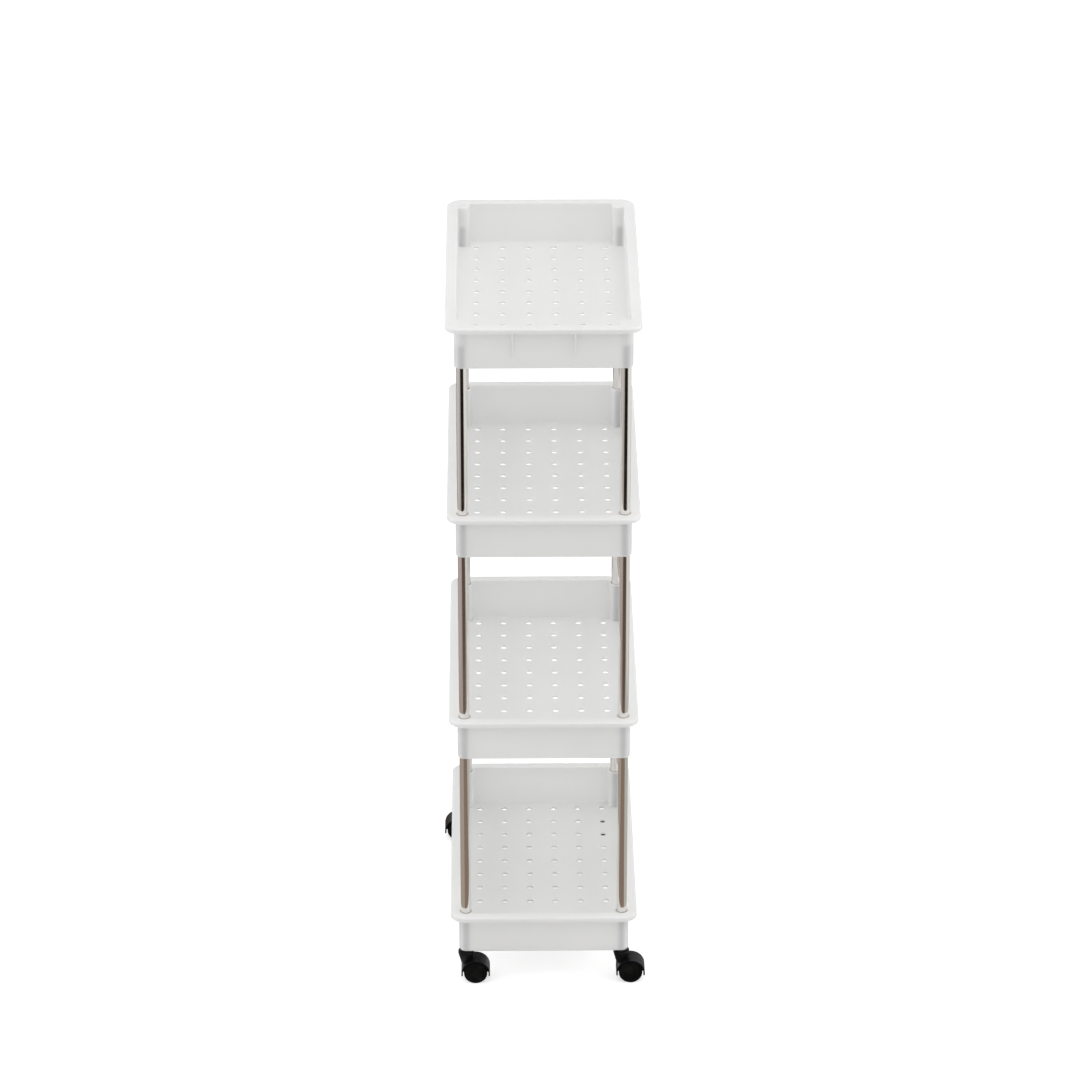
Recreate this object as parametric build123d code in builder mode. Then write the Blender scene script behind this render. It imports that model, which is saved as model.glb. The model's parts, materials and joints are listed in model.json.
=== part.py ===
from build123d import *
import os

os.makedirs("parts", exist_ok=True)

# Four-tier rolling utility cart. X is its width, Y its length and Z is up,
# with the origin on the ground at the middle of the cart. Sizes are in millimetres.

# Driving dimensions of the trays
TRAY_WIDTH = 220
TRAY_LENGTH = 371
TRAY_HEIGHT = 52.5
RIM_OVERHANG = 10
RIM_THICKNESS = 2.2
LIP_DROP = 6
LIP_THICKNESS = 2
RIM_ROUND = 1.6
RIM_INNER_CHAMFER = 0.8
WALL_THICKNESS = 2.2
FLOOR_THICKNESS = 2.5
FLOOR_CHAMFER = 1.8
POST_RADIUS = 8
POST_BLEND = 3
TRAY_FOOT_CHAMFER = 1.2
BASE_TRAY_FOOT_ROUND = 3.5

# Drain holes in every tray floor
HOLE_ACROSS = 7.6
HOLE_SIDES = 8
HOLE_COLUMNS = 6
HOLE_ROWS = 11
HOLE_PITCH_X = 30.4
HOLE_PITCH_Y = 31.6

# Gusset ribs under the rim at both short ends of the top tray
RIB_SPACING = 70
RIB_THICKNESS = 2.4
RIB_HEIGHT = 40

# Upright tubes, pushed into sockets in the corner posts; the top tier has shorter ones
TUBE_RADIUS = 6
TUBE_WALL = 0.8
TUBE_LENGTH = 258
TOP_TIER_TUBE_LENGTH = 235.5
SOCKET_RADIUS = 6.05
SOCKET_DEPTH = 24
TOP_SOCKET_DEPTH = 28

# Casters
CASTER_HEIGHT = 42
CASTER_TRAIL = 11
WHEEL_RADIUS = 14
WHEEL_WIDTH = 9.2
WHEEL_EDGE_CHAMFER = 0.9
WHEEL_HUB_RADIUS = 4
WHEEL_RIM_INNER_RADIUS = 11
WHEEL_DISH_DEPTH = 5.5
WHEEL_BORE_RADIUS = 1.55
WHEEL_FACE_THICKNESS = 1.2
HOOD_RADIUS = 17
HOOD_WALL = 1.8
HOOD_WIDTH = 23
HOOD_SKIRT = 3.5
HOOD_WEB = 3
WEB_GAP = 0.3
BOSS_RADIUS = 9.5
BOSS_FOOT = 37
NECK_RADIUS = 6
NECK_FOOT = 24
BOSS_EDGE_CHAMFER = 0.7
SWIVEL_GAP = 0.3
PIVOT_RADIUS = 3.5
PIVOT_BORE_RADIUS = 3.55
PIVOT_BORE_DEPTH = 12.5
PIVOT_END_GAP = 0.5
COLLAR_RADIUS = 7.5
COLLAR_THICKNESS = 1.2
STEM_RADIUS = 4
STEM_LENGTH = 21
STEM_CHAMFER = 0.8
STEM_BORE_RADIUS = 4.1
STEM_BORE_DEPTH = 22
GRIP_GROOVE_RADIUS = 3.2
GRIP_GROOVE_HEIGHT = 2.4
GRIP_GROOVE_RISE = 12
GRIP_RING_HEIGHT = 2
GRIP_RING_INNER_RADIUS = 3.25
GRIP_RING_OUTER_RADIUS = 4.05
GRIP_RING_SPLIT = 1.2
AXLE_RADIUS = 1.5
AXLE_BORE_RADIUS = 1.52
AXLE_END_GAP = 0.3

# Sizes that follow from the driving ones
WALL_WIDTH = TRAY_WIDTH - 2 * RIM_OVERHANG
WALL_LENGTH = TRAY_LENGTH - 2 * RIM_OVERHANG
RIM_RADIUS = POST_RADIUS + RIM_OVERHANG
POST_X = WALL_WIDTH / 2 - POST_RADIUS
POST_Y = WALL_LENGTH / 2 - POST_RADIUS
HOLE_RADIUS = HOLE_ACROSS / 2
TIER_PITCH = TRAY_HEIGHT + TUBE_LENGTH - 2 * SOCKET_DEPTH
TOP_TIER_PITCH = TRAY_HEIGHT + TOP_TIER_TUBE_LENGTH - SOCKET_DEPTH - TOP_SOCKET_DEPTH
AXLE_HEIGHT = WHEEL_RADIUS
WHEEL_INNER_FACE = HOOD_WEB / 2 + WEB_GAP
AXLE_LENGTH = 2 * (WHEEL_INNER_FACE + WHEEL_WIDTH - WHEEL_FACE_THICKNESS - AXLE_END_GAP)
COLLAR_FOOT = CASTER_HEIGHT - COLLAR_THICKNESS
BOSS_TOP = COLLAR_FOOT - SWIVEL_GAP
PIVOT_FOOT = BOSS_TOP - PIVOT_BORE_DEPTH + PIVOT_END_GAP

BASE_TRAY_Z = CASTER_HEIGHT
LOWER_TRAY_Z = BASE_TRAY_Z + TIER_PITCH
UPPER_TRAY_Z = LOWER_TRAY_Z + TIER_PITCH
TOP_TRAY_Z = UPPER_TRAY_Z + TOP_TIER_PITCH

# Corner name, X side and Y side; the front end of the cart is at -Y
CORNERS = [
    ("front_left", -1, -1),
    ("front_right", 1, -1),
    ("rear_left", -1, 1),
    ("rear_right", 1, 1),
]


def save(piece, name):
    piece.part.label = name
    export_step(piece.part, f"parts/{name}.step")


def post_circles(radius, mode=Mode.ADD):
    with GridLocations(2 * POST_X, 2 * POST_Y, 2, 2):
        Circle(radius, mode=mode)


def wall_outline(mode=Mode.ADD):
    RectangleRounded(WALL_WIDTH, WALL_LENGTH, POST_RADIUS, mode=mode)


def rim_outline(inset=0):
    RectangleRounded(TRAY_WIDTH - 2 * inset, TRAY_LENGTH - 2 * inset, RIM_RADIUS - inset)


# Tray name, height of its foot, depth of its sockets above, and radius and depth of those below
TRAYS = [
    ("base_tray", BASE_TRAY_Z, SOCKET_DEPTH, STEM_BORE_RADIUS, STEM_BORE_DEPTH),
    ("lower_tray", LOWER_TRAY_Z, SOCKET_DEPTH, SOCKET_RADIUS, SOCKET_DEPTH),
    ("upper_tray", UPPER_TRAY_Z, SOCKET_DEPTH, SOCKET_RADIUS, SOCKET_DEPTH),
    ("top_tray", TOP_TRAY_Z, 0, SOCKET_RADIUS, TOP_SOCKET_DEPTH),
]

for name, bottom, upper_depth, foot_bore, foot_depth in TRAYS:
    top = bottom + TRAY_HEIGHT
    with BuildPart() as tray:
        # Walls as a solid block, its foot edge eased, and well rounded on the base tray
        with BuildSketch(Plane.XY.offset(bottom)):
            wall_outline()
        extrude(amount=TRAY_HEIGHT)
        foot_edges = tray.faces().sort_by(Axis.Z)[0].edges()
        if name == "base_tray":
            fillet(foot_edges, radius=BASE_TRAY_FOOT_ROUND)
        else:
            chamfer(foot_edges, length=TRAY_FOOT_CHAMFER)

        # Rim, rounded on its outer top edge
        with BuildSketch(Plane.XY.offset(top - LIP_DROP)):
            rim_outline()
        extrude(amount=LIP_DROP)
        fillet(tray.faces().sort_by(Axis.Z)[-1].edges(), radius=RIM_ROUND)

        # Channel between the lip and the wall, open below
        with BuildSketch(Plane.XY.offset(top - LIP_DROP)):
            rim_outline(LIP_THICKNESS)
            wall_outline(mode=Mode.SUBTRACT)
        extrude(amount=LIP_DROP - RIM_THICKNESS, mode=Mode.SUBTRACT)

        # Inside of the tray, drawn in round each corner post
        with BuildSketch(Plane.XY.offset(bottom + FLOOR_THICKNESS)) as inside:
            RectangleRounded(
                WALL_WIDTH - 2 * WALL_THICKNESS,
                WALL_LENGTH - 2 * WALL_THICKNESS,
                POST_RADIUS - WALL_THICKNESS,
            )
            post_circles(POST_RADIUS, mode=Mode.SUBTRACT)
            fillet(inside.vertices(), radius=POST_BLEND)
        extrude(amount=TRAY_HEIGHT - FLOOR_THICKNESS, mode=Mode.SUBTRACT)
        floor_face = tray.faces().filter_by(Axis.Z).sort_by(Axis.Z)[1]
        chamfer(floor_face.edges(), length=FLOOR_CHAMFER)
        chamfer(tray.faces().sort_by(Axis.Z)[-1].inner_wires().edges(), length=RIM_INNER_CHAMFER)

        # Drain holes
        with BuildSketch(Plane.XY.offset(bottom)):
            with GridLocations(HOLE_PITCH_X, HOLE_PITCH_Y, HOLE_COLUMNS, HOLE_ROWS):
                RegularPolygon(HOLE_RADIUS, HOLE_SIDES, rotation=180 / HOLE_SIDES)
        extrude(amount=FLOOR_THICKNESS, mode=Mode.SUBTRACT)

        # Sockets in the posts: tubes above, tubes or caster stems below
        if upper_depth:
            with BuildSketch(Plane.XY.offset(top)):
                post_circles(SOCKET_RADIUS)
            extrude(amount=-upper_depth, mode=Mode.SUBTRACT)
        with BuildSketch(Plane.XY.offset(bottom)):
            post_circles(foot_bore)
        extrude(amount=foot_depth, mode=Mode.SUBTRACT)

        # Gusset ribs under the rim at both ends of the top tray
        if name == "top_tray":
            rim_foot = top - RIM_THICKNESS
            for end in (-1, 1):
                wall_face = end * WALL_LENGTH / 2
                lip_face = end * (TRAY_LENGTH / 2 - LIP_THICKNESS)
                for side in (-1, 1):
                    with BuildSketch(Plane.YZ.offset(side * RIB_SPACING / 2)):
                        with BuildLine():
                            Polyline(
                                (wall_face, rim_foot),
                                (lip_face, rim_foot),
                                (lip_face, top - LIP_DROP),
                                (wall_face, rim_foot - RIB_HEIGHT),
                                close=True,
                            )
                        make_face()
                    extrude(amount=RIB_THICKNESS / 2, both=True)
    save(tray, name)

# Upright tubes, one at each corner between neighbouring trays
TIERS = [
    ("lower", BASE_TRAY_Z, TUBE_LENGTH),
    ("middle", LOWER_TRAY_Z, TUBE_LENGTH),
    ("upper", UPPER_TRAY_Z, TOP_TIER_TUBE_LENGTH),
]

for tier, tray_below, length in TIERS:
    tube_foot = tray_below + TRAY_HEIGHT - SOCKET_DEPTH
    for corner, side_x, side_y in CORNERS:
        with BuildPart() as tube:
            with BuildSketch(Plane.XY.offset(tube_foot)):
                with Locations((side_x * POST_X, side_y * POST_Y)):
                    Circle(TUBE_RADIUS)
                    Circle(TUBE_RADIUS - TUBE_WALL, mode=Mode.SUBTRACT)
            extrude(amount=length)
        save(tube, f"{tier}_tube_{corner}")


def hood_arch(radius):
    """Half-round arch over the wheels, with straight sides down to the skirt."""
    Circle(radius)
    Rectangle(2 * radius, HOOD_SKIRT, align=(Align.CENTER, Align.MAX))
    with Locations((0, -HOOD_SKIRT)):
        Rectangle(2 * radius, 2 * radius, align=(Align.CENTER, Align.MAX), mode=Mode.SUBTRACT)


# Casters: front ones trail towards +X, rear ones towards -X
for corner, side_x, side_y in CORNERS:
    pivot_x = side_x * POST_X
    pivot_y = side_y * POST_Y
    axle_x = pivot_x - side_y * CASTER_TRAIL

    web_plane = Plane(origin=(axle_x, pivot_y, AXLE_HEIGHT), x_dir=(-1, 0, 0), z_dir=(0, 1, 0))
    ground_plane = Plane(origin=(pivot_x, pivot_y, 0))

    # Hood: arched shell, boss round the pivot and a web between the two wheels
    with BuildPart() as hood:
        with BuildSketch(web_plane):
            hood_arch(HOOD_RADIUS)
        extrude(amount=HOOD_WIDTH / 2, both=True)
        with BuildSketch(ground_plane.offset(NECK_FOOT)):
            Circle(NECK_RADIUS)
        with BuildSketch(ground_plane.offset(BOSS_FOOT)):
            Circle(BOSS_RADIUS)
        loft()
        with BuildSketch(ground_plane.offset(BOSS_FOOT)):
            Circle(BOSS_RADIUS)
        extrude(amount=BOSS_TOP - BOSS_FOOT)
        chamfer(hood.faces().sort_by(Axis.Z)[-1].edges(), length=BOSS_EDGE_CHAMFER)
        for side in (-1, 1):
            with BuildSketch(web_plane.offset(side * HOOD_WEB / 2)):
                hood_arch(HOOD_RADIUS - HOOD_WALL)
            extrude(amount=side * HOOD_WIDTH, mode=Mode.SUBTRACT)
        with BuildSketch(ground_plane.offset(BOSS_TOP)):
            Circle(PIVOT_BORE_RADIUS)
        extrude(amount=-PIVOT_BORE_DEPTH, mode=Mode.SUBTRACT)
        with BuildSketch(web_plane):
            Circle(AXLE_BORE_RADIUS)
        extrude(amount=HOOD_WEB, both=True, mode=Mode.SUBTRACT)
    save(hood, f"caster_hood_{corner}")

    # Axle pin through the web
    with BuildPart() as axle:
        with BuildSketch(web_plane):
            Circle(AXLE_RADIUS)
        extrude(amount=AXLE_LENGTH / 2, both=True)
    save(axle, f"caster_axle_{corner}")

    # Two wheels, closed on the outer face and dished on the inner one
    for place, side in (("outer", side_y), ("inner", -side_y)):
        inner_face = side * WHEEL_INNER_FACE
        with BuildPart() as wheel:
            with BuildSketch(web_plane.offset(inner_face)):
                Circle(WHEEL_RADIUS)
            extrude(amount=side * WHEEL_WIDTH)
            chamfer(wheel.edges().filter_by(GeomType.CIRCLE), length=WHEEL_EDGE_CHAMFER)
            with BuildSketch(web_plane.offset(inner_face)):
                Circle(WHEEL_RIM_INNER_RADIUS)
                Circle(WHEEL_HUB_RADIUS, mode=Mode.SUBTRACT)
            extrude(amount=side * WHEEL_DISH_DEPTH, mode=Mode.SUBTRACT)
            with BuildSketch(web_plane.offset(inner_face)):
                Circle(WHEEL_BORE_RADIUS)
            extrude(amount=side * (WHEEL_WIDTH - WHEEL_FACE_THICKNESS), mode=Mode.SUBTRACT)
        save(wheel, f"caster_wheel_{corner}_{place}")

    # Stem: pivot in the boss, collar under the tray and shank in the post
    with BuildPart() as stem:
        with BuildSketch(ground_plane.offset(PIVOT_FOOT)):
            Circle(PIVOT_RADIUS)
        extrude(amount=COLLAR_FOOT - PIVOT_FOOT)
        with BuildSketch(ground_plane.offset(COLLAR_FOOT)):
            Circle(COLLAR_RADIUS)
        extrude(amount=COLLAR_THICKNESS)
        with BuildSketch(ground_plane.offset(CASTER_HEIGHT)):
            Circle(STEM_RADIUS)
        extrude(amount=STEM_LENGTH)
        chamfer(stem.faces().sort_by(Axis.Z)[-1].edges(), length=STEM_CHAMFER)
        with BuildSketch(ground_plane.offset(CASTER_HEIGHT + GRIP_GROOVE_RISE)):
            Circle(STEM_RADIUS)
            Circle(GRIP_GROOVE_RADIUS, mode=Mode.SUBTRACT)
        extrude(amount=GRIP_GROOVE_HEIGHT, mode=Mode.SUBTRACT)
    save(stem, f"caster_stem_{corner}")

# Split spring rings that hold the stems in their sockets
with BuildPart() as grip_rings:
    ring_foot = CASTER_HEIGHT + GRIP_GROOVE_RISE + (GRIP_GROOVE_HEIGHT - GRIP_RING_HEIGHT) / 2
    with BuildSketch(Plane.XY.offset(ring_foot)):
        with GridLocations(2 * POST_X, 2 * POST_Y, 2, 2):
            Circle(GRIP_RING_OUTER_RADIUS)
            Circle(GRIP_RING_INNER_RADIUS, mode=Mode.SUBTRACT)
            Rectangle(
                2 * GRIP_RING_OUTER_RADIUS,
                GRIP_RING_SPLIT,
                align=(Align.MIN, Align.CENTER),
                mode=Mode.SUBTRACT,
            )
    extrude(amount=GRIP_RING_HEIGHT)
save(grip_rings, "stem_grip_rings")
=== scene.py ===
import json
import math

import bpy
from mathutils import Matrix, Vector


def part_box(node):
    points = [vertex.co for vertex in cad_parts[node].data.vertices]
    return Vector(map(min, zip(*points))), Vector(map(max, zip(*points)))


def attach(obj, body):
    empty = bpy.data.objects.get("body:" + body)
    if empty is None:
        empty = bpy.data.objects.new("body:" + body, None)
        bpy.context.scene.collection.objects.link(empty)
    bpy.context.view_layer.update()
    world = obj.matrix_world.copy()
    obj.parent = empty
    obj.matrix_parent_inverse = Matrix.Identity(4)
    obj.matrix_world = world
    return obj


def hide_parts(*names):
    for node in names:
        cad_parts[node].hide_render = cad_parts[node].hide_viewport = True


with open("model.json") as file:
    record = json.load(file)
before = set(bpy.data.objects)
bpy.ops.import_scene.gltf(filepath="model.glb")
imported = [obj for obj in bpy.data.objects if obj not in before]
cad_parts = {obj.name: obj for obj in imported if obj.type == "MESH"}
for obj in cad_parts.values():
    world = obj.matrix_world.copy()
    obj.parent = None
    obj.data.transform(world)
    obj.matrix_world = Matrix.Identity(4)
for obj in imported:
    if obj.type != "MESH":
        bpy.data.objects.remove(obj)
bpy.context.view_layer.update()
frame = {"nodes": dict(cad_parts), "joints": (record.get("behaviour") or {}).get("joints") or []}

MM = 0.001

CORNERS = ("front_left", "front_right", "rear_left", "rear_right")
TIERS = ("lower", "middle", "upper")

# Trays
RIM_OVERHANG = 10 * MM
RIM_THICKNESS = 2.2 * MM
LIP_DROP = 6 * MM
LIP_THICKNESS = 2 * MM
RIM_ROUND = 1.6 * MM
WALL_THICKNESS = 2.2 * MM
FLOOR_THICKNESS = 2.5 * MM
FLOOR_ROUND = 2.2 * MM
POST_RADIUS = 8 * MM
POST_BLEND = 3.7 * MM
FOOT_ROUND = 1.2 * MM
BASE_FOOT_ROUND = 3.5 * MM
HOLE_RADIUS = 3.7 * MM
HOLE_COLUMNS = 6
HOLE_ROWS = 11
HOLE_PITCH_X = 30.4 * MM
HOLE_PITCH_Y = 31.6 * MM
SOCKET_RADIUS = 6.05 * MM
SOCKET_DEPTH = 24 * MM
TOP_SOCKET_DEPTH = 28 * MM
STEM_BORE_RADIUS = 4.1 * MM
STEM_BORE_DEPTH = 22 * MM
RIB_SPACING = 70 * MM
RIB_THICKNESS = 2.4 * MM
RIB_HEIGHT = 40 * MM
MOULD_EDGE = 0.4 * MM
RIM_CORNER_STEPS = 12
POST_CORNER_STEPS = 8
POST_TIP_STEPS = 16
POST_BLEND_STEPS = 6
EDGE_STEPS = 4
HOLE_SIDES = 24

# Tubes
TUBE_WALL = 0.8 * MM
TUBE_EDGE = 0.2 * MM
TUBE_SIDES = 64

# Casters
HOOD_RADIUS = 17 * MM
HOOD_WALL = 1.8 * MM
HOOD_SKIRT = 3.5 * MM
HOOD_WEB = 3 * MM
HOOD_EDGE = 0.35 * MM
HOOD_SIDES = 72
BOSS_RADIUS = 9.5 * MM
BOSS_FOOT = 37 * MM
BOSS_ROUND = 0.8 * MM
BOSS_STEPS = 3
NECK_RADIUS = 6 * MM
NECK_FOOT = 24 * MM
PIVOT_BORE_RADIUS = 3.55 * MM
PIVOT_BORE_DEPTH = 12.5 * MM
AXLE_BORE_RADIUS = 1.52 * MM
AXLE_BORE_SIDES = 24
WHEEL_RADIUS = 14 * MM
WHEEL_ROUND = 1.2 * MM
WHEEL_BORDER = 0.7 * MM
WHEEL_FACE_SINK = 0.4 * MM
WHEEL_TREAD = 1.8 * MM
WHEEL_DISH_WIDTH = 7 * MM
WHEEL_DISH_DEPTH = 5.5 * MM
WHEEL_HUB_WALL = 2.45 * MM
WHEEL_BORE_DEPTH = 8 * MM
WHEEL_EDGE = 0.2 * MM
WHEEL_SIDES = 64

# Edges softened by the finishing bevel
SHARP_ANGLE = math.radians(35)
WELD_REACH = 0.005 * MM

# Painted marks at the corner posts, as distances over which they fade: painted shade of the tubes seen
# through the post walls, and a painted shade ring with a dust tint round each tube foot
POST_SHADE_FADE = (9 * MM, 13 * MM)
STRIPE_FADE = (0.5 * MM, 6.5 * MM)
TUBE_TOP_FADE = (24 * MM, 31 * MM)
FOOT_SHADE_RING_FADE = (6.4 * MM, 7.6 * MM)
SLOPE_FADE = (0.3, 0.8)
# Strengths of the painted shade in the posts and of the painted shade ring with a dust tint at the tube
# feet
POST_SHADE = 0.75
FOOT_SHADE_AND_DUST = 0.9

# Finishes: pairs of tones are mixed by a grain, pairs of roughness run from smooth to rough
GRAIN_SPAN = (0.3, 0.7)
WHITE_TONES = ((0.845, 0.845, 0.84), (0.875, 0.875, 0.868))
# Colour of the painted shade of the tubes seen through the posts
WHITE_SHADE = (0.66, 0.66, 0.675)
# Brown-grey of the painted shade ring with a dust tint round each tube foot
WHITE_RING_SHADE_AND_DUST = (0.42, 0.37, 0.32)
WHITE_SCUFF = (0.74, 0.74, 0.73)
WHITE_SCUFFING = 0.3
WHITE_ROUGHNESS = (0.33, 0.43)
WHITE_SPECULAR = 0.45
WHITE_SCATTER = 4 * MM
TUBE_TONES = ((0.79, 0.765, 0.74), (0.87, 0.85, 0.83))
TUBE_ROUGHNESS = (0.09, 0.15)
TUBE_SMUDGE = 0.07
HOOD_TONES = ((0.004, 0.004, 0.005), (0.008, 0.008, 0.009))
HOOD_ROUGHNESS = (0.32, 0.42)
HOOD_SPECULAR = 0.12
WHEEL_TONES = ((0.003, 0.003, 0.003), (0.006, 0.006, 0.006))
WHEEL_ROUGHNESS = (0.4, 0.55)
WHEEL_SPECULAR = 0.06
BLACK_DUST = (0.1, 0.096, 0.09)
BLACK_DUSTING = 0.08
BLACK_SCUFF = (0.1, 0.1, 0.1)
BLACK_SCUFFING = 0.15
STEEL_TONES = ((0.05, 0.05, 0.052), (0.09, 0.09, 0.092))
STEEL_ROUGHNESS = (0.3, 0.45)

# Studio: the light is even, and whatever is seen of it looks white
FLOOR_SIZE = 60
FLOOR_TONE = (0.86, 0.86, 0.86, 1)
FLOOR_GLOW = 0.55
WORLD_LIGHT = 0.64
WORLD_SEEN = 1.0
CARD_LIFT = 1 * MM
# Sectors of card round the cart: name, turn and edge angles in degrees
CARD_SECTORS = (
    ("front", 0, (-25, 38)),
    ("left", -90, (-52, 65)),
    ("rear", 180, (-25, 38)),
    ("right", 90, (-52, 65)),
)
# Bands of card: name, reaches, then the tones in front and behind, on the left and on the right
CARD_BANDS = (
    ("near", (0.12, 0.8), (0.25, 0.19, 0.15), (0.40, 0.34, 0.29), (0.50, 0.50, 0.46)),
    ("middle", (0.8, 1.3), (0.12, 0.085, 0.07), (0.46, 0.41, 0.39), (0.72, 0.72, 0.68)),
    ("far", (1.3, 25.0), (0.012, 0.011, 0.010), (0.60, 0.57, 0.56), (0.85, 0.86, 0.84)),
)
# Lamps: name, place, what they aim at, size and watts
LAMPS = (
    ("top_light", (0.3, -0.6, 3.4), (0, 0, 0.5), 2.2, 13.5),
    ("front_light", (-1.6, -3.2, 2.2), (0, 0, 0.45), 1.6, 1.5),
    ("left_light", (-2.4, -0.4, 1.5), (0, 0, 0.35), 1.8, 16),
    ("right_light", (2.4, -0.4, 1.5), (0, 0, 0.35), 1.8, 16),
)

# Camera, fitted to the rims, walls and wheels in the photograph
CAMERA_PLACE = (-0.05, -5.0, 3.0393)
CAMERA_TILT = 0.4707
CAMERA_YAW = 0.0104
CAMERA_LENS = 157.995
CAMERA_SENSOR = 36


def start_piece(name):
    """Name the primitive just added and put its place into its mesh."""
    piece = bpy.context.object
    piece.name = name
    piece.data.name = name
    bpy.ops.object.transform_apply(location=True, rotation=True, scale=True)
    return piece


def add_block(name, low, high):
    """Box between two corners."""
    bpy.ops.object.select_all(action="DESELECT")
    middle = [(a + b) / 2 for a, b in zip(low, high)]
    size = [b - a for a, b in zip(low, high)]
    bpy.ops.mesh.primitive_cube_add(size=1, location=middle, scale=size)
    return start_piece(name)


def add_rod(name, middle, radius, length, axis="Z", sides=48, turn=0.0):
    """Cylinder about a point, along Z or Y, or a prism turned about Z."""
    bpy.ops.object.select_all(action="DESELECT")
    angles = (math.pi / 2, 0, 0) if axis == "Y" else (0, 0, turn)
    bpy.ops.mesh.primitive_cylinder_add(
        vertices=sides, radius=radius, depth=length, location=middle, rotation=angles
    )
    return start_piece(name)


def take(piece):
    """Make this the one selected and active object."""
    bpy.ops.object.select_all(action="DESELECT")
    piece.select_set(True)
    bpy.context.view_layer.objects.active = piece


def pick(piece, kind, test):
    """Go into edit mode with the vertices, edges or faces selected that pass the test."""
    take(piece)
    modes = {"VERT": (True, False, False), "EDGE": (False, True, False), "FACE": (False, False, True)}
    bpy.context.tool_settings.mesh_select_mode = modes[kind]
    mesh = piece.data
    for items in (mesh.vertices, mesh.edges, mesh.polygons):
        items.foreach_set("select", [False] * len(items))
    if kind == "EDGE":
        for edge in mesh.edges:
            edge.select = test(*(mesh.vertices[i].co for i in edge.vertices))
    elif kind == "FACE":
        for face in mesh.polygons:
            face.select = test(face)
    else:
        for vertex in mesh.vertices:
            vertex.select = test(vertex.co)
    bpy.ops.object.mode_set(mode="EDIT")


def leave_edit():
    """Go back to object mode."""
    bpy.ops.object.mode_set(mode="OBJECT")


def near(a, b, slack=0.02 * MM):
    """True for two measures that are the same but for rounding."""
    return abs(a - b) < slack


def upright(a, b):
    """Test for edges that stand upright."""
    return near(a.x, b.x) and near(a.y, b.y)


def faces_down(face):
    """Test for faces that look down."""
    return face.normal.z < -0.9


def at_level(height):
    """Test for edges at this height."""
    return lambda a, b: near(a.z, height) and near(b.z, height)


def round_edges(piece, test, radius, segments):
    """Round the edges that pass the test."""
    pick(piece, "EDGE", test)
    bpy.ops.mesh.bevel(offset=radius, segments=segments, affect="EDGES")
    leave_edit()


def apply_modifier(piece, kind, **settings):
    """Add one modifier with these settings and apply it."""
    take(piece)
    modifier = piece.modifiers.new(kind.lower(), kind)
    for key, value in settings.items():
        setattr(modifier, key, value)
    bpy.ops.object.modifier_apply(modifier=modifier.name)


def combine(piece, tool, operation):
    """Boolean of a piece with a tool, which is used up."""
    apply_modifier(piece, "BOOLEAN", object=tool, operation=operation, solver="EXACT")
    bpy.data.meshes.remove(tool.data)


def repeat(piece, count, step):
    """Row of copies within one mesh."""
    apply_modifier(
        piece,
        "ARRAY",
        count=count,
        use_relative_offset=False,
        use_constant_offset=True,
        constant_offset_displace=step,
    )


def finish_edges(piece, radius, segments=2):
    """Soften every sharp edge, with the flat faces beside it kept flat."""
    pick(piece, "VERT", lambda co: True)
    bpy.ops.mesh.remove_doubles(threshold=WELD_REACH)
    leave_edit()
    bpy.ops.object.shade_smooth()
    apply_modifier(
        piece,
        "BEVEL",
        width=radius,
        segments=segments,
        limit_method="ANGLE",
        angle_limit=SHARP_ANGLE,
        use_clamp_overlap=True,
        harden_normals=True,
    )


def place_copy(master, name, shift, turn=0.0):
    """Copy with its own mesh, turned about Z and moved within the mesh."""
    twin = master.copy()
    twin.data = master.data.copy()
    twin.name = name
    twin.data.name = name
    bpy.context.scene.collection.objects.link(twin)
    twin.rotation_euler.z = turn
    twin.location = shift
    take(twin)
    bpy.ops.object.transform_apply(location=True, rotation=True, scale=True)
    return twin


def hand_over(piece, body, node, material):
    """Let the piece ride on its body in place of the CAD node, in its finish."""
    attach(piece, body)
    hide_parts(node)
    dress(piece, material)


def dress(piece, material):
    """Give the piece this one material."""
    piece.data.materials.clear()
    piece.data.materials.append(material)


def joint_place(name):
    """Place of a joint in the frame."""
    return next(joint for joint in frame["joints"] if joint["name"] == name)["pos_m"]


# Trays


def rounded_block(name, half_x, half_y, foot, top, radius, segments):
    """Upright block with rounded corners."""
    block = add_block(name, (-half_x, -half_y, foot), (half_x, half_y, top))
    round_edges(block, upright, radius, segments)
    return block


def post_rods(name, post_x, post_y, foot, top, radius):
    """One rod on each corner post, as one mesh."""
    rods = add_rod(name, (-post_x, -post_y, (foot + top) / 2), radius, top - foot)
    repeat(rods, 2, (2 * post_x, 0, 0))
    repeat(rods, 2, (0, 2 * post_y, 0))
    return rods


def model_rim(high, top):
    """Flat rim plate with a rounded edge and a lip turned down round it."""
    radius = POST_RADIUS + RIM_OVERHANG
    rim = rounded_block("rim", high.x, high.y, top - LIP_DROP, top, radius, RIM_CORNER_STEPS)
    round_edges(rim, at_level(top), RIM_ROUND, EDGE_STEPS)
    channel = rounded_block(
        "channel",
        high.x - LIP_THICKNESS,
        high.y - LIP_THICKNESS,
        top - 2 * LIP_DROP,
        top - RIM_THICKNESS,
        radius - LIP_THICKNESS,
        RIM_CORNER_STEPS,
    )
    combine(rim, channel, "DIFFERENCE")
    return rim


def model_rib(x, end, wall_y, rim_y, top):
    """Gusset rib from the rim's underside down to the wall."""
    wall = end * (wall_y - WALL_THICKNESS / 2)
    edge = end * (rim_y - LIP_THICKNESS / 2)
    foot = top - RIM_THICKNESS - RIB_HEIGHT
    rib = add_block(
        "rib",
        (x - RIB_THICKNESS / 2, min(wall, edge), foot),
        (x + RIB_THICKNESS / 2, max(wall, edge), top - RIM_THICKNESS / 2),
    )
    pick(rib, "VERT", lambda co: near(co.y, edge) and near(co.z, foot))
    bpy.ops.transform.translate(value=(0, 0, top - LIP_DROP + RIM_THICKNESS / 2 - foot))
    leave_edit()
    return rib


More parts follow.
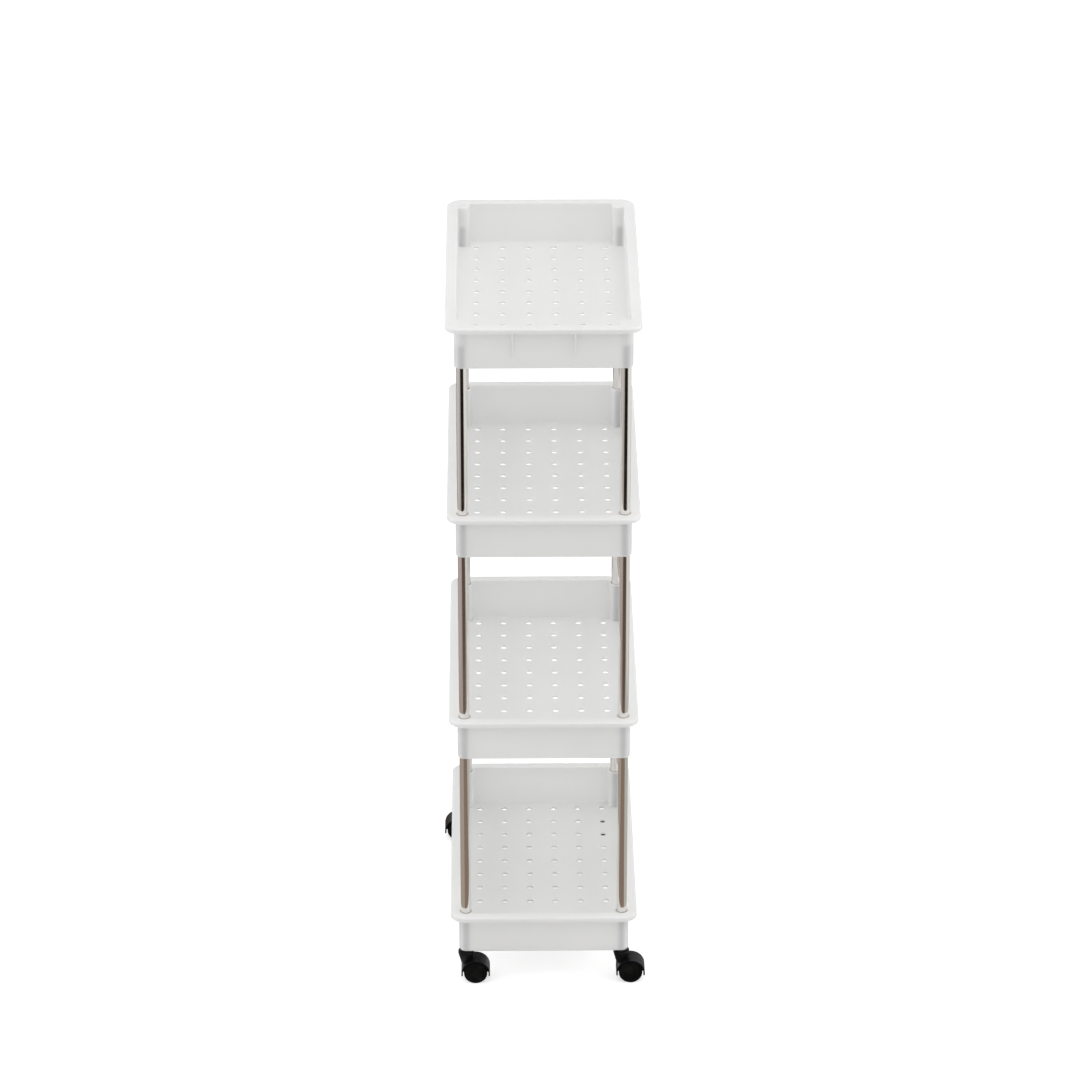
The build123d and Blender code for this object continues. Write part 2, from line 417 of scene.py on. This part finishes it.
def model_inside(half_x, half_y, post_x, post_y, floor, above):
    """Hollow of the tray, drawn in round the posts and rounded at the floor."""
    side, end = half_x - WALL_THICKNESS, half_y - WALL_THICKNESS
    inside = add_block("inside", (-side, -end, floor), (side, end, above))
    tip = math.sqrt(2) * POST_RADIUS
    size = 4 * POST_RADIUS
    back = size / math.sqrt(2) - tip
    for side_x in (-1, 1):
        for side_y in (-1, 1):
            middle = (side_x * (post_x + back), side_y * (post_y + back), above)
            turn = math.atan2(-side_y, -side_x) - math.pi / 2
            wedge = add_rod("wedge", middle, size, 4 * (above - floor), sides=3, turn=turn)
            combine(inside, wedge, "DIFFERENCE")

    def at_tip(a, b):
        return upright(a, b) and near(abs(a.x), post_x - tip) and near(abs(a.y), post_y - tip)

    def at_wall(a, b):
        return upright(a, b) and (near(abs(a.x), side) or near(abs(a.y), end))

    round_edges(inside, at_tip, math.sqrt(3) * POST_RADIUS, POST_TIP_STEPS)
    round_edges(inside, at_wall, POST_BLEND, POST_BLEND_STEPS)
    round_edges(inside, at_level(floor), FLOOR_ROUND, EDGE_STEPS)
    return inside


def split_floor(tray, foot, floor, place, across):
    """Part the floor's upper and lower face along a plane."""
    pick(tray, "FACE", lambda face: near(face.center.z, floor) or near(face.center.z, foot))
    bpy.ops.mesh.bisect(plane_co=place, plane_no=across)
    leave_edit()


def cut_holes(tray, foot, floor):
    """Part the floor into one field for each drain hole, then cut the holes."""
    span_x = HOLE_PITCH_X * (HOLE_COLUMNS - 1) / 2
    span_y = HOLE_PITCH_Y * (HOLE_ROWS - 1) / 2
    for step in range(1, HOLE_COLUMNS):
        split_floor(tray, foot, floor, ((step - 0.5) * HOLE_PITCH_X - span_x, 0, floor), (1, 0, 0))
    for step in range(1, HOLE_ROWS):
        split_floor(tray, foot, floor, (0, (step - 0.5) * HOLE_PITCH_Y - span_y, floor), (0, 1, 0))
    first = (-span_x, -span_y, floor)
    holes = add_rod("holes", first, HOLE_RADIUS, 3 * FLOOR_THICKNESS, sides=HOLE_SIDES)
    repeat(holes, HOLE_COLUMNS, (HOLE_PITCH_X, 0, 0))
    repeat(holes, HOLE_ROWS, (0, HOLE_PITCH_Y, 0))
    combine(tray, holes, "DIFFERENCE")


def model_tray(node, foot_round, upper_depth, foot_bore, foot_depth, ribs):
    """Moulded tray: walls, posts, holed floor, rim with a down-turned lip, sockets and ribs."""
    low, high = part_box(node)
    foot, top = low.z, high.z
    half_x, half_y = high.x - RIM_OVERHANG, high.y - RIM_OVERHANG
    post_x, post_y = half_x - POST_RADIUS, half_y - POST_RADIUS
    floor = foot + FLOOR_THICKNESS
    above = top + LIP_DROP

    rim_middle = top - RIM_THICKNESS / 2
    tray = rounded_block(
        node + "_moulding", half_x, half_y, foot, rim_middle, POST_RADIUS, POST_CORNER_STEPS
    )
    round_edges(tray, at_level(foot), foot_round, EDGE_STEPS)
    combine(tray, model_rim(high, top), "UNION")
    if ribs:
        for end in (-1, 1):
            for side in (-1, 1):
                combine(tray, model_rib(side * RIB_SPACING / 2, end, half_y, high.y, top), "UNION")
    combine(tray, model_inside(half_x, half_y, post_x, post_y, floor, above), "DIFFERENCE")
    cut_holes(tray, foot, floor)
    if upper_depth:
        sockets = post_rods("sockets", post_x, post_y, top - upper_depth, above, SOCKET_RADIUS)
        combine(tray, sockets, "DIFFERENCE")
    bores = post_rods("bores", post_x, post_y, foot - LIP_DROP, foot + foot_depth, foot_bore)
    combine(tray, bores, "DIFFERENCE")
    finish_edges(tray, MOULD_EDGE)
    return tray


# Tubes and casters


def model_tube(node):
    """Bright tube with open ends, standing about the origin."""
    low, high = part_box(node)
    radius, length = (high.x - low.x) / 2, high.z - low.z
    tube = add_rod("tube", (0, 0, 0), radius, length, sides=TUBE_SIDES)
    bore = add_rod("tube_bore", (0, 0, 0), radius - TUBE_WALL, 2 * length, sides=TUBE_SIDES)
    combine(tube, bore, "DIFFERENCE")
    finish_edges(tube, TUBE_EDGE)
    return tube


def model_arch(name, axle, radius, width, skirt):
    """Upper half of a level cylinder, drawn down by a straight skirt."""
    arch = add_rod(name, axle, radius, width, axis="Y", sides=HOOD_SIDES)
    pick(arch, "VERT", lambda co: True)
    bpy.ops.mesh.bisect(plane_co=axle, plane_no=(0, 0, 1), use_fill=True, clear_inner=True)
    leave_edit()
    pick(arch, "FACE", faces_down)
    bpy.ops.mesh.extrude_region_move(TRANSFORM_OT_translate={"value": (0, 0, -skirt)})
    leave_edit()
    return arch


def model_hood(trail, axle_z, width, top):
    """Caster hood with its pivot on the origin: arched shell, web and a boss on a tapered neck."""
    axle = (trail, 0, axle_z)
    hood = model_arch("hood", axle, HOOD_RADIUS, width, HOOD_SKIRT)
    combine(hood, model_boss(top), "UNION")
    for side in (-1, 1):
        beside = (trail, side * (HOOD_WEB / 2 + width / 2), axle_z)
        space = model_arch("wheel_space", beside, HOOD_RADIUS - HOOD_WALL, width, 2 * HOOD_SKIRT)
        combine(hood, space, "DIFFERENCE")
    bore_foot = top - PIVOT_BORE_DEPTH
    bore = add_rod("bore", (0, 0, bore_foot + top), PIVOT_BORE_RADIUS, 2 * top)
    combine(hood, bore, "DIFFERENCE")
    pin_hole = add_rod(
        "pin_hole", axle, AXLE_BORE_RADIUS, 2 * HOOD_WEB, axis="Y", sides=AXLE_BORE_SIDES
    )
    combine(hood, pin_hole, "DIFFERENCE")
    finish_edges(hood, HOOD_EDGE)
    return hood


def model_boss(top):
    """Round boss under the tray on a neck that narrows downwards."""
    boss = add_rod("boss", (0, 0, (BOSS_FOOT + top) / 2), BOSS_RADIUS, top - BOSS_FOOT)
    pick(boss, "FACE", faces_down)
    bpy.ops.mesh.extrude_region_move(TRANSFORM_OT_translate={"value": (0, 0, NECK_FOOT - BOSS_FOOT)})
    shrink = NECK_RADIUS / BOSS_RADIUS
    bpy.ops.transform.resize(value=(shrink, shrink, 1), center_override=(0, 0, NECK_FOOT))
    leave_edit()
    round_edges(boss, at_level(top), BOSS_ROUND, BOSS_STEPS)
    return boss


def model_wheel(width):
    """Caster wheel about the origin: sunk disc on the outer face (-Y), dish and hub on the inner one."""
    wheel = add_rod("wheel", (0, 0, 0), WHEEL_RADIUS, width, axis="Y", sides=WHEEL_SIDES)
    round_edges(wheel, lambda a, b: near(a.y, b.y), WHEEL_ROUND, EDGE_STEPS)
    pick(wheel, "FACE", lambda face: len(face.vertices) == WHEEL_SIDES and face.normal.y < 0)
    bpy.ops.mesh.inset(thickness=WHEEL_BORDER)
    bpy.ops.mesh.inset(thickness=WHEEL_FACE_SINK, depth=-WHEEL_FACE_SINK)
    leave_edit()
    pick(wheel, "FACE", lambda face: len(face.vertices) == WHEEL_SIDES and face.normal.y > 0)
    for border, depth in (
        (WHEEL_TREAD, -WHEEL_DISH_DEPTH),
        (WHEEL_DISH_WIDTH, WHEEL_DISH_DEPTH),
        (WHEEL_HUB_WALL, -WHEEL_BORE_DEPTH),
    ):
        bpy.ops.mesh.inset(thickness=border)
        bpy.ops.mesh.extrude_region_move(TRANSFORM_OT_translate={"value": (0, depth, 0)})
    leave_edit()
    finish_edges(wheel, WHEEL_EDGE)
    return wheel


# Shader node groups shared by the finishes


def group_with(name, inputs, outputs):
    """Empty node group with these float inputs and outputs."""
    tree = bpy.data.node_groups.new(name, "ShaderNodeTree")
    tree.interface.new_socket("Vector", in_out="INPUT", socket_type="NodeSocketVector")
    for label, value in inputs:
        socket = tree.interface.new_socket(label, in_out="INPUT", socket_type="NodeSocketFloat")
        socket.default_value = value
    for label in outputs:
        tree.interface.new_socket(label, in_out="OUTPUT", socket_type="NodeSocketFloat")
    return tree, tree.nodes.new("NodeGroupInput"), tree.nodes.new("NodeGroupOutput")


def math_node(tree, operation, a, b=0.0):
    """Math node on one or two numbers or sockets; returns its result."""
    node = tree.nodes.new("ShaderNodeMath")
    node.operation = operation
    for socket, value in zip(node.inputs, (a, b)):
        if isinstance(value, (int, float)):
            socket.default_value = value
        else:
            tree.links.new(value, socket)
    return node.outputs[0]


def noise_node(tree, vector, scale, detail, roughness=0.5):
    """Noise over a vector; the scale is a number or a socket."""
    node = tree.nodes.new("ShaderNodeTexNoise")
    node.inputs["Detail"].default_value = detail
    node.inputs["Roughness"].default_value = roughness
    tree.links.new(vector, node.inputs["Vector"])
    if isinstance(scale, (int, float)):
        node.inputs["Scale"].default_value = scale
    else:
        tree.links.new(scale, node.inputs["Scale"])
    return node.outputs["Fac"]


def remap(tree, value, low, high, new_low, new_high):
    """Carry a value smoothly from one span to another."""
    node = tree.nodes.new("ShaderNodeMapRange")
    node.interpolation_type = "SMOOTHSTEP"
    tree.links.new(value, node.inputs["Value"])
    for label, number in (("From Min", low), ("From Max", high), ("To Min", new_low), ("To Max", new_high)):
        node.inputs[label].default_value = number
    return node.outputs["Result"]


def make_grain_group():
    """Moulded grain: a fine height, a mid-scale value and a broad cloudy value."""
    tree, start, end = group_with(
        "moulded_grain", (("Fine scale", 2200.0), ("Broad scale", 9.0)), ("Height", "Mottle", "Cloud")
    )
    vector = start.outputs["Vector"]
    tree.links.new(noise_node(tree, vector, start.outputs["Fine scale"], 2.0), end.inputs["Height"])
    tree.links.new(noise_node(tree, vector, 160.0, 4.0, 0.6), end.inputs["Mottle"])
    tree.links.new(noise_node(tree, vector, start.outputs["Broad scale"], 2.0), end.inputs["Cloud"])
    return tree


def make_scuff_group():
    """Sparse fine scuffs: a mask that is mostly 0 and near 1 on thin streaks."""
    tree, start, end = group_with("fine_scuffs", (("Amount", 0.5),), ("Scuff",))
    vector = start.outputs["Vector"]
    stretched = tree.nodes.new("ShaderNodeMapping")
    stretched.inputs["Scale"].default_value = (60, 900, 240)
    stretched.inputs["Rotation"].default_value = (0.3, 0.5, 0.7)
    tree.links.new(vector, stretched.inputs["Vector"])
    streaks = remap(tree, noise_node(tree, stretched.outputs[0], 1.0, 1.0), 0.66, 0.74, 0, 1)
    places = remap(tree, noise_node(tree, vector, 26.0, 2.0), 0.5, 0.68, 0, 1)
    both = math_node(tree, "MULTIPLY", streaks, places)
    tree.links.new(math_node(tree, "MULTIPLY", both, start.outputs["Amount"]), end.inputs["Scuff"])
    return tree


def make_post_group():
    """Masks at the corner posts: painted shade of the tubes seen through the walls, and a painted shade
    ring with a dust tint round the tube feet.
    """
    low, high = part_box("lower_tube_rear_right")
    tree, start, end = group_with("tube_in_post", (), ("Shade", "Foot shade and dust"))
    split = tree.nodes.new("ShaderNodeSeparateXYZ")
    tree.links.new(start.outputs["Vector"], split.inputs[0])
    dx = math_node(tree, "SUBTRACT", math_node(tree, "ABSOLUTE", split.outputs["X"]), (low.x + high.x) / 2)
    dy = math_node(tree, "SUBTRACT", math_node(tree, "ABSOLUTE", split.outputs["Y"]), (low.y + high.y) / 2)
    squares = [math_node(tree, "MULTIPLY", side, side) for side in (dx, dy)]
    away = math_node(tree, "SQRT", math_node(tree, "ADD", *squares))
    # Painted shade of the tubes seen through the post walls, on upright faces and below the tube tops
    column = remap(tree, away, *POST_SHADE_FADE, 1, 0)
    across = math_node(tree, "MINIMUM", *(math_node(tree, "ABSOLUTE", side) for side in (dx, dy)))
    stripe = remap(tree, across, *STRIPE_FADE, 1, 0)
    above_top = math_node(tree, "SUBTRACT", split.outputs["Z"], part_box("top_tray")[0].z)
    below = remap(tree, above_top, *TUBE_TOP_FADE, 1, 0)
    facing = tree.nodes.new("ShaderNodeSeparateXYZ")
    tree.links.new(tree.nodes.new("ShaderNodeNewGeometry").outputs["Normal"], facing.inputs[0])
    wall = remap(tree, math_node(tree, "ABSOLUTE", facing.outputs["Z"]), *SLOPE_FADE, 1, 0)
    inner = math_node(tree, "MULTIPLY", math_node(tree, "MULTIPLY", column, below), wall)
    tree.links.new(math_node(tree, "MULTIPLY", inner, stripe), end.inputs["Shade"])
    # Painted shade ring with a dust tint on up-facing faces round each tube foot, below the tube tops
    ring = remap(tree, away, *FOOT_SHADE_RING_FADE, 1, 0)
    upward = remap(tree, facing.outputs["Z"], *SLOPE_FADE, 0, 1)
    foot = math_node(tree, "MULTIPLY", math_node(tree, "MULTIPLY", ring, below), upward)
    tree.links.new(foot, end.inputs["Foot shade and dust"])
    return tree


def new_finish(name):
    """Material with a Principled shader; returns it, its tree, the shader and object coordinates."""
    material = bpy.data.materials.new(name)
    material.use_nodes = True
    tree = material.node_tree
    shader = tree.nodes["Principled BSDF"]
    place = tree.nodes.new("ShaderNodeTexCoord").outputs["Object"]
    return material, tree, shader, place


def use_group(tree, group, vector, **values):
    """Put a node group into a material; returns its outputs."""
    node = tree.nodes.new("ShaderNodeGroup")
    node.node_tree = group
    tree.links.new(vector, node.inputs["Vector"])
    for label, value in values.items():
        node.inputs[label.replace("_", " ")].default_value = value
    return node.outputs


def colour_socket(tree, socket, value):
    """Set a colour socket from a tuple or link it."""
    if isinstance(value, tuple):
        socket.default_value = (*value, 1)
    else:
        tree.links.new(value, socket)


def mix_colours(tree, factor, first, second):
    """Colour mix by a factor; the colours are tuples or sockets."""
    node = tree.nodes.new("ShaderNodeMix")
    node.data_type = "RGBA"
    tree.links.new(factor, node.inputs[0])
    colour_socket(tree, node.inputs[6], first)
    colour_socket(tree, node.inputs[7], second)
    return node.outputs[2]


def add_bump(tree, shader, height, strength, distance):
    """Let a height bend the shader's normals."""
    bump = tree.nodes.new("ShaderNodeBump")
    bump.inputs["Strength"].default_value = strength
    bump.inputs["Distance"].default_value = distance
    tree.links.new(height, bump.inputs["Height"])
    tree.links.new(bump.outputs["Normal"], shader.inputs["Normal"])


GRAIN = make_grain_group()
SCUFFS = make_scuff_group()
POSTS = make_post_group()


def tray_finish():
    """White satin moulded plastic that scatters light a little, with painted shade of the tubes in the
    corner posts and a painted shade ring with a dust tint round each tube foot.
    """
    material, tree, shader, place = new_finish("white_moulded_plastic")
    grain = use_group(tree, GRAIN, place, Fine_scale=1800.0, Broad_scale=7.0)
    scuffs = use_group(tree, SCUFFS, place, Amount=0.5)
    posts = use_group(tree, POSTS, place)
    cloud = remap(tree, grain["Cloud"], *GRAIN_SPAN, 0, 1)
    cloudy = mix_colours(tree, cloud, *WHITE_TONES)
    # Painted shade of the tubes, seen through the corner posts, mixed into the colour
    shade = math_node(tree, "MULTIPLY", posts["Shade"], POST_SHADE)
    posted = mix_colours(tree, shade, cloudy, WHITE_SHADE)
    # Painted shade ring with a dust tint round each tube foot, mixed into the colour
    dust = math_node(tree, "MULTIPLY", posts["Foot shade and dust"], FOOT_SHADE_AND_DUST)
    dusty = mix_colours(tree, dust, posted, WHITE_RING_SHADE_AND_DUST)
    scuff = math_node(tree, "MULTIPLY", scuffs["Scuff"], WHITE_SCUFFING)
    worn = mix_colours(tree, scuff, dusty, WHITE_SCUFF)
    tree.links.new(worn, shader.inputs["Base Color"])
    gloss = remap(tree, grain["Mottle"], *GRAIN_SPAN, *WHITE_ROUGHNESS)
    tree.links.new(math_node(tree, "ADD", gloss, scuff), shader.inputs["Roughness"])
    shader.inputs["Specular IOR Level"].default_value = WHITE_SPECULAR
    shader.inputs["Subsurface Weight"].default_value = 1.0
    shader.inputs["Subsurface Radius"].default_value = (1.0, 1.0, 1.0)
    shader.inputs["Subsurface Scale"].default_value = WHITE_SCATTER
    add_bump(tree, shader, grain["Height"], 0.08, 0.1 * MM)
    return material


def tube_finish():
    """Polished tube with faint drawing lines along it and a few smudges."""
    material, tree, shader, place = new_finish("polished_tube")
    drawn = tree.nodes.new("ShaderNodeMapping")
    drawn.inputs["Scale"].default_value = (900, 900, 6)
    tree.links.new(place, drawn.inputs["Vector"])
    lines = noise_node(tree, drawn.outputs[0], 1.0, 2.0)
    grain = use_group(tree, GRAIN, place, Fine_scale=900.0, Broad_scale=30.0)
    smudge = remap(tree, grain["Cloud"], 0.52, 0.72, 0, 1)
    tone = mix_colours(tree, lines, *TUBE_TONES)
    tree.links.new(tone, shader.inputs["Base Color"])
    shader.inputs["Metallic"].default_value = 1.0
    drawn_gloss = remap(tree, lines, *GRAIN_SPAN, *TUBE_ROUGHNESS)
    rough = math_node(tree, "ADD", drawn_gloss, math_node(tree, "MULTIPLY", smudge, TUBE_SMUDGE))
    tree.links.new(rough, shader.inputs["Roughness"])
    add_bump(tree, shader, lines, 0.03, 0.05 * MM)
    return material


def black_finish(name, tones, roughness, specular):
    """Black moulded plastic with a fine eroded grain, scuffs and some grey dust."""
    material, tree, shader, place = new_finish(name)
    grain = use_group(tree, GRAIN, place, Fine_scale=2600.0, Broad_scale=60.0)
    scuffs = use_group(tree, SCUFFS, place, Amount=1.0)
    base = mix_colours(tree, grain["Mottle"], *tones)
    dust = remap(tree, grain["Cloud"], 0.5, 0.75, 0, BLACK_DUSTING)
    dusty = mix_colours(tree, dust, base, BLACK_DUST)
    scuff = math_node(tree, "MULTIPLY", scuffs["Scuff"], BLACK_SCUFFING)
    worn = mix_colours(tree, scuff, dusty, BLACK_SCUFF)
    tree.links.new(worn, shader.inputs["Base Color"])
    rough = remap(tree, grain["Mottle"], *GRAIN_SPAN, *roughness)
    tree.links.new(rough, shader.inputs["Roughness"])
    shader.inputs["Specular IOR Level"].default_value = specular
    add_bump(tree, shader, grain["Height"], 0.25, 0.1 * MM)
    return material


def steel_finish():
    """Dark plated steel of stems, pins and rings."""
    material, tree, shader, place = new_finish("dark_plated_steel")
    grain = use_group(tree, GRAIN, place, Fine_scale=1500.0, Broad_scale=90.0)
    tone = mix_colours(tree, grain["Mottle"], *STEEL_TONES)
    tree.links.new(tone, shader.inputs["Base Color"])
    shader.inputs["Metallic"].default_value = 1.0
    rough = remap(tree, grain["Mottle"], *GRAIN_SPAN, *STEEL_ROUGHNESS)
    tree.links.new(rough, shader.inputs["Roughness"])
    add_bump(tree, shader, grain["Height"], 0.1, 0.05 * MM)
    return material


# Pieces in their finishes
WHITE = tray_finish()
BRIGHT = tube_finish()
HOOD_BLACK = black_finish("black_hood_plastic", HOOD_TONES, HOOD_ROUGHNESS, HOOD_SPECULAR)
WHEEL_BLACK = black_finish("black_wheel_plastic", WHEEL_TONES, WHEEL_ROUGHNESS, WHEEL_SPECULAR)
STEEL = steel_finish()

base_tray = model_tray("base_tray", BASE_FOOT_ROUND, SOCKET_DEPTH, STEM_BORE_RADIUS, STEM_BORE_DEPTH, False)
lower_tray = model_tray("lower_tray", FOOT_ROUND, SOCKET_DEPTH, SOCKET_RADIUS, SOCKET_DEPTH, False)
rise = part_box("upper_tray")[0].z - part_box("lower_tray")[0].z
upper_tray = place_copy(lower_tray, "upper_tray_moulding", (0, 0, rise))
top_tray = model_tray("top_tray", FOOT_ROUND, 0, SOCKET_RADIUS, TOP_SOCKET_DEPTH, True)
for node, tray in (
    ("base_tray", base_tray),
    ("lower_tray", lower_tray),
    ("upper_tray", upper_tray),
    ("top_tray", top_tray),
):
    hand_over(tray, "cart", node, WHITE)

long_tube = model_tube("lower_tube_front_left")
short_tube = model_tube("upper_tube_front_left")
for tier in TIERS:
    for corner in CORNERS:
        node = f"{tier}_tube_{corner}"
        low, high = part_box(node)
        master = short_tube if tier == "upper" else long_tube
        tube = place_copy(master, node + "_bright", (low + high) / 2)
        hand_over(tube, "cart", node, BRIGHT)

pivot = joint_place("swivel_front_left")
axle = joint_place("roll_front_left_outer")
low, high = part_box("caster_hood_front_left")
hood_master = model_hood(axle[0] - pivot[0], axle[2], high.y - low.y, high.z)
low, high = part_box("caster_wheel_front_left_outer")
wheel_master = model_wheel(high.y - low.y)
for corner in CORNERS:
    pivot = joint_place(f"swivel_{corner}")
    rear_turn = math.pi if corner.startswith("rear") else 0
    node = f"caster_hood_{corner}"
    hood = place_copy(hood_master, node + "_moulding", (pivot[0], pivot[1], 0), rear_turn)
    hand_over(hood, f"caster_{corner}", node, HOOD_BLACK)
    for place, turn in (("outer", rear_turn), ("inner", math.pi - rear_turn)):
        node = f"caster_wheel_{corner}_{place}"
        low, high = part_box(node)
        wheel = place_copy(wheel_master, node + "_moulding", (low + high) / 2, turn)
        hand_over(wheel, f"wheel_{corner}_{place}", node, WHEEL_BLACK)
    for node in (f"caster_axle_{corner}", f"caster_stem_{corner}"):
        dress(frame["nodes"][node], STEEL)
dress(frame["nodes"]["stem_grip_rings"], STEEL)
for master in (long_tube, short_tube, hood_master, wheel_master):
    bpy.data.meshes.remove(master.data)


# Floor, light and camera


def seen_by(tree, *rays):
    """1 for these kinds of ray and 0 for others."""
    path = tree.nodes.new("ShaderNodeLightPath")
    seen = path.outputs[rays[0]]
    for ray in rays[1:]:
        seen = math_node(tree, "MAXIMUM", seen, path.outputs[ray])
    return seen


def make_floor():
    """Wide pale floor that looks white and keeps the cart's shadow."""
    bpy.ops.object.select_all(action="DESELECT")
    bpy.ops.mesh.primitive_plane_add(size=FLOOR_SIZE, location=(0, 0, 0))
    floor = start_piece("studio_floor")
    material = bpy.data.materials.new("studio_floor")
    material.use_nodes = True
    tree = material.node_tree
    shader = tree.nodes["Principled BSDF"]
    shader.inputs["Base Color"].default_value = FLOOR_TONE
    shader.inputs["Roughness"].default_value = 0.9
    shader.inputs["Specular IOR Level"].default_value = 0.1
    shader.inputs["Emission Color"].default_value = (1, 1, 1, 1)
    seen = seen_by(tree, "Is Camera Ray", "Is Glossy Ray")
    glow = math_node(tree, "MULTIPLY", seen, FLOOR_GLOW)
    tree.links.new(glow, shader.inputs["Emission Strength"])
    dress(floor, material)


def make_world():
    """Even soft studio light, seen as white."""
    world = bpy.data.worlds.new("studio")
    bpy.context.scene.world = world
    world.use_nodes = True
    tree = world.node_tree
    background = tree.nodes["Background"]
    background.inputs["Color"].default_value = (1, 1, 1, 1)
    seen = seen_by(tree, "Is Camera Ray", "Is Glossy Ray", "Is Transmission Ray")
    extra = math_node(tree, "MULTIPLY", seen, WORLD_SEEN - WORLD_LIGHT)
    strength = math_node(tree, "ADD", WORLD_LIGHT, extra)
    tree.links.new(strength, background.inputs["Strength"])


def add_card(name, turn, edges, reaches, colour):
    """Wedge of card on the floor that only reflections see; it puts a stripe on the tubes."""
    bpy.ops.object.select_all(action="DESELECT")
    bpy.ops.mesh.primitive_plane_add(size=2, location=(0, 0, CARD_LIFT))
    card = start_piece(name)
    for edge, reach in zip((1, -1), reaches):
        left, right = (reach * math.tan(math.radians(angle)) for angle in edges)
        pick(card, "VERT", lambda co: near(co.y, edge))
        bpy.ops.transform.resize(value=((right - left) / 2, 1, 1), center_override=(0, 0, 0))
        bpy.ops.transform.translate(value=((left + right) / 2, -reach - edge, 0))
        leave_edit()
    card.rotation_euler.z = turn
    take(card)
    bpy.ops.object.transform_apply(location=True, rotation=True, scale=True)
    card.visible_camera = False
    card.visible_diffuse = False
    card.visible_shadow = False
    card.visible_transmission = False
    material = bpy.data.materials.new(name)
    material.use_nodes = True
    shader = material.node_tree.nodes["Principled BSDF"]
    shader.inputs["Base Color"].default_value = (0, 0, 0, 1)
    shader.inputs["Specular IOR Level"].default_value = 0
    shader.inputs["Emission Color"].default_value = (*colour, 1)
    shader.inputs["Emission Strength"].default_value = 1
    dress(card, material)


def add_lamp(name, place, target, size, power):
    """Square lamp aimed at a point."""
    lamp = bpy.data.lights.new(name, "AREA")
    lamp.shape = "SQUARE"
    lamp.size = size
    lamp.energy = power
    holder = bpy.data.objects.new(name, lamp)
    bpy.context.scene.collection.objects.link(holder)
    holder.location = place
    aim(holder, target)


def aim(holder, target):
    """Turn an object so that its -Z looks at a point."""
    direction = [b - a for a, b in zip(holder.location, target)]
    flat = math.hypot(direction[0], direction[1])
    holder.rotation_euler = (
        math.atan2(flat, -direction[2]),
        0,
        math.atan2(direction[1], direction[0]) - math.pi / 2,
    )


def make_camera():
    """Camera of the main view."""
    camera = bpy.data.objects.new("camera", bpy.data.cameras.new("camera"))
    bpy.context.scene.collection.objects.link(camera)
    camera.location = CAMERA_PLACE
    camera.rotation_euler = (math.pi / 2 - CAMERA_TILT, 0, -CAMERA_YAW)
    camera.data.sensor_width = CAMERA_SENSOR
    camera.data.lens = CAMERA_LENS
    bpy.context.scene.camera = camera


make_floor()
make_world()
for band, reaches, middle_tone, left_tone, right_tone in CARD_BANDS:
    tones = (middle_tone, left_tone, middle_tone, right_tone)
    for (side, turn, edges), tone in zip(CARD_SECTORS, tones):
        add_card(f"{band}_card_{side}", math.radians(turn), edges, reaches, tone)
for lamp in LAMPS:
    add_lamp(*lamp)
make_camera()
bpy.context.scene.view_settings.view_transform = "Standard"
